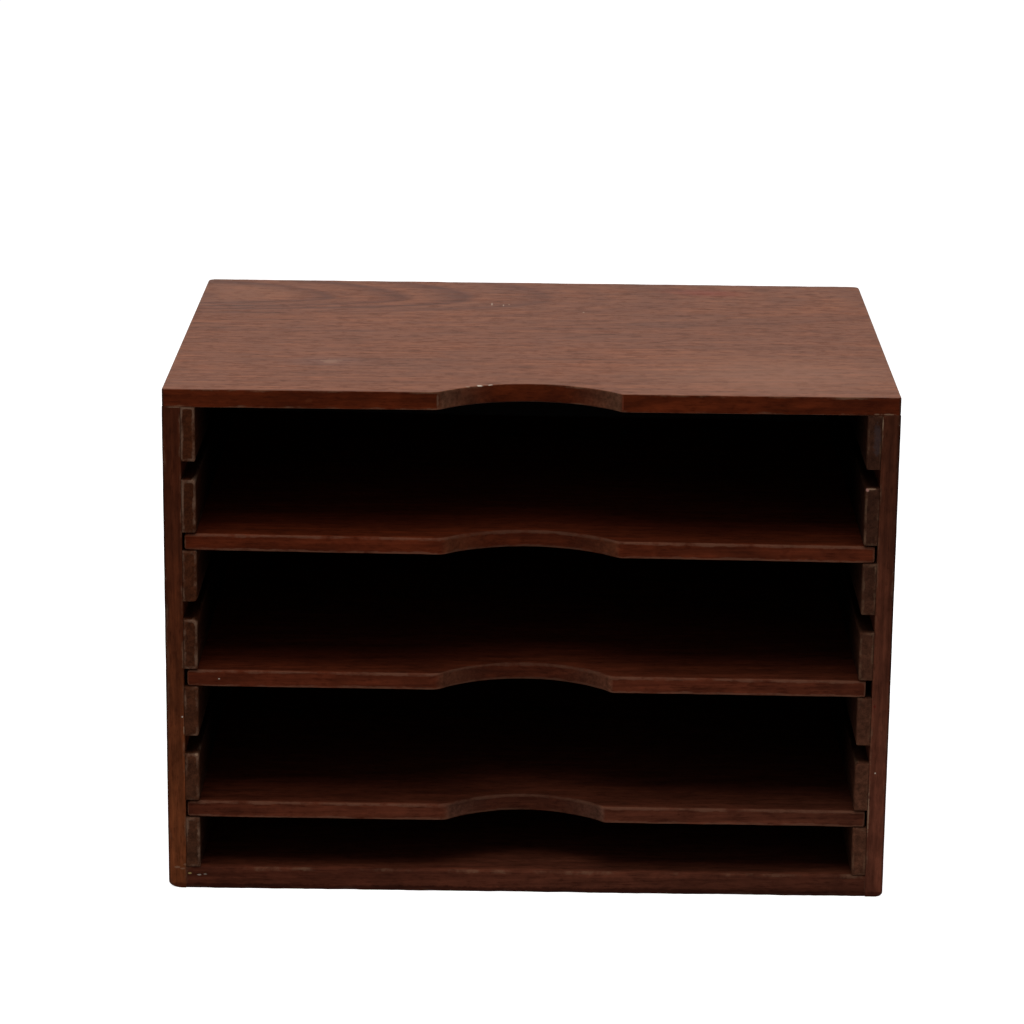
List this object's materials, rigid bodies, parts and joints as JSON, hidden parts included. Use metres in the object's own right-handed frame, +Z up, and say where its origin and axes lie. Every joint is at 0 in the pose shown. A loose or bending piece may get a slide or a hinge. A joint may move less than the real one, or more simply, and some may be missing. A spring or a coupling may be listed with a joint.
{
  "type": "horizontal paper rack",
  "caption": "Open-fronted wooden desk rack for flat paper: loose shelves with finger scoops slide in slots between cleats on the sides.",
  "frame": {"origin": "centre of the footprint, on the surface that the rack stands on", "axes": "+X to the right seen from the open front, +Y to the back, +Z up"},
  "size_m": [0.36, 0.26, 0.259],
  "materials": {
    "top_wood": "red-brown stained hardwood, grain left to right, satin wax",
    "side_wood": "dark red-brown stained hardwood, upright grain, satin",
    "shelf_wood": "dark red-brown stained hardwood, grain left to right, satin, worn front edge",
    "cleat_wood": "stained hardwood strip, grey-brown rough end grain at the front",
    "back_wood": "thin stained board, dull",
    "tongue_wood": "raw hardwood",
    "brad_steel": "dull drawn steel"
  },
  "bodies": {
    "case": {"top_panel": "top_wood", "left_side_panel": "side_wood", "right_side_panel": "side_wood", "bottom_panel": "shelf_wood", "back_panel": "back_wood", "left_cleat_1": "cleat_wood", "left_cleat_2": "cleat_wood", "left_cleat_3": "cleat_wood", "left_cleat_4": "cleat_wood", "left_cleat_5": "cleat_wood", "left_cleat_6": "cleat_wood", "left_cleat_7": "cleat_wood", "right_cleat_1": "cleat_wood", "right_cleat_2": "cleat_wood", "right_cleat_3": "cleat_wood", "right_cleat_4": "cleat_wood", "right_cleat_5": "cleat_wood", "right_cleat_6": "cleat_wood", "right_cleat_7": "cleat_wood", "left_top_tongue": "tongue_wood", "right_top_tongue": "tongue_wood", "left_bottom_tongue": "tongue_wood", "right_bottom_tongue": "tongue_wood", "back_brads": "brad_steel"},
    "lower_shelf": {"lower_shelf": "shelf_wood"},
    "middle_shelf": {"middle_shelf": "shelf_wood"},
    "upper_shelf": {"upper_shelf": "shelf_wood"}
  },
  "joints": [
    {"name": "lower_shelf_slide", "type": "slide", "parent": "case", "child": "lower_shelf", "axis": [0, -1, 0], "range_m": [0, 0.26]},
    {"name": "middle_shelf_slide", "type": "slide", "parent": "case", "child": "middle_shelf", "axis": [0, -1, 0], "range_m": [0, 0.26]},
    {"name": "upper_shelf_slide", "type": "slide", "parent": "case", "child": "upper_shelf", "axis": [0, -1, 0], "range_m": [0, 0.26]}
  ]
}
